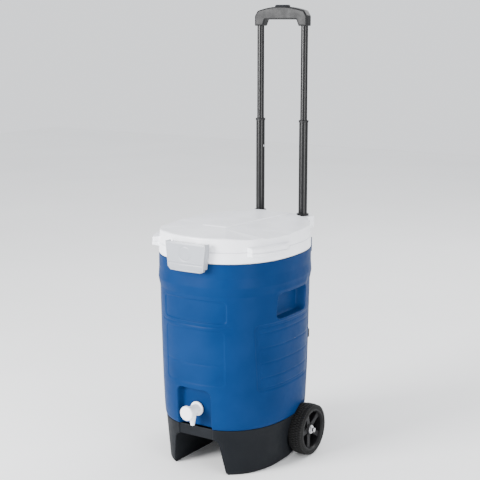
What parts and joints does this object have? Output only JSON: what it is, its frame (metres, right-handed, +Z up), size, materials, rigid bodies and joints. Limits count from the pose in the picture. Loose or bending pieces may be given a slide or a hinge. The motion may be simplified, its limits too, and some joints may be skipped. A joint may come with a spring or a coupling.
{
  "type": "wheeled beverage dispenser cooler",
  "caption": "Wheeled insulated beverage cooler with a hinged latched lid, a push-button spigot in a front recess, carry pockets and a telescoping pull handle.",
  "frame": {"origin": "on the floor, below the middle of the whole object, which is 6.75 mm behind the middle of the tank", "axes": "+Z up; -Y towards the side with the spigot and latch; +X to the right seen from the front"},
  "size_m": [0.352, 0.4264, 1.052],
  "materials": {
    "blue_plastic": "satin",
    "white_plastic": "satin",
    "charcoal_plastic": "matte",
    "black_plastic": "matte",
    "black_tube": "satin",
    "silver_plastic": "satin",
    "tyre_rubber": "matte",
    "seal_rubber": "matte",
    "steel": "satin",
    "tank_plastic": "satin",
    "foam": "matte"
  },
  "bodies": {
    "cooler": {"outer_shell": "blue_plastic", "insulation_foam": "foam", "inner_liner": "tank_plastic", "rim_ring": "white_plastic", "rear_tower": "white_plastic", "base_skid": "charcoal_plastic", "base_screws": "steel", "hinge_pins": "steel", "spigot_body": "white_plastic", "spigot_outer_washer": "seal_rubber", "spigot_inner_washer": "seal_rubber", "spigot_nut": "white_plastic", "valve_spring": "steel", "axle_rod": "steel", "axle_washers": "steel", "push_nuts": "steel", "handle_sleeve_left": "black_tube", "handle_sleeve_right": "black_tube", "sleeve_collars": "black_plastic", "sleeve_end_caps": "black_plastic", "sleeve_bracket": "black_plastic", "bracket_screws": "steel"},
    "lid": {"lid_shell": "white_plastic", "lid_liner": "tank_plastic", "lid_foam": "foam", "lid_gasket": "seal_rubber", "latch_pin": "steel"},
    "latch_lever": {"latch": "silver_plastic"},
    "tap_valve": {"spigot_button": "white_plastic", "valve_stem": "white_plastic", "valve_seal": "seal_rubber"},
    "wheel_right": {"wheel_hub_right": "black_plastic", "tyre_right": "tyre_rubber"},
    "wheel_left": {"wheel_hub_left": "black_plastic", "tyre_left": "tyre_rubber"},
    "handle_middle": {"middle_tube_left": "black_tube", "middle_tube_right": "black_tube", "middle_tube_collars": "black_plastic", "middle_tube_feet": "black_plastic", "snap_buttons": "steel"},
    "handle_upper": {"upper_tube_left": "black_tube", "upper_tube_right": "black_tube", "upper_tube_feet": "black_plastic", "grip": "black_plastic", "release_spring": "steel"},
    "release": {"release_button": "charcoal_plastic", "release_rods": "steel"}
  },
  "joints": [
    {"name": "lid_hinge", "type": "hinge", "parent": "cooler", "child": "lid", "pos_m": [0, 0.16525, 0.541], "axis": [-1, 0, 0], "range_deg": [0, 88]},
    {"name": "latch_pivot", "type": "hinge", "parent": "lid", "child": "latch_lever", "pos_m": [0, -0.20275, 0.534], "axis": [-1, 0, 0], "range_deg": [0, 95]},
    {"name": "spigot_press", "type": "slide", "parent": "cooler", "child": "tap_valve", "axis": [0, 1, 0], "range_m": [0, 0.004], "stiffness_N_per_m": 800, "springref_m": -0.005, "deforming": ["valve_spring"]},
    {"name": "wheel_right_spin", "type": "hinge", "parent": "cooler", "child": "wheel_right", "pos_m": [0.155, 0.06325, 0.061], "axis": [1, 0, 0], "continuous": true},
    {"name": "wheel_left_spin", "type": "hinge", "parent": "cooler", "child": "wheel_left", "pos_m": [-0.155, 0.06325, 0.061], "axis": [1, 0, 0], "continuous": true},
    {"name": "handle_middle_slide", "type": "slide", "parent": "cooler", "child": "handle_middle", "axis": [0, 0, 1], "range_m": [-0.215, 0]},
    {"name": "handle_upper_slide", "type": "slide", "parent": "handle_middle", "child": "handle_upper", "axis": [0, 0, 1], "range_m": [-0.22, 0]},
    {"name": "release_press", "type": "slide", "parent": "handle_upper", "child": "release", "axis": [0, 0, -1], "range_m": [0, 0.003], "stiffness_N_per_m": 900, "springref_m": -0.003, "deforming": ["release_spring"]}
  ]
}
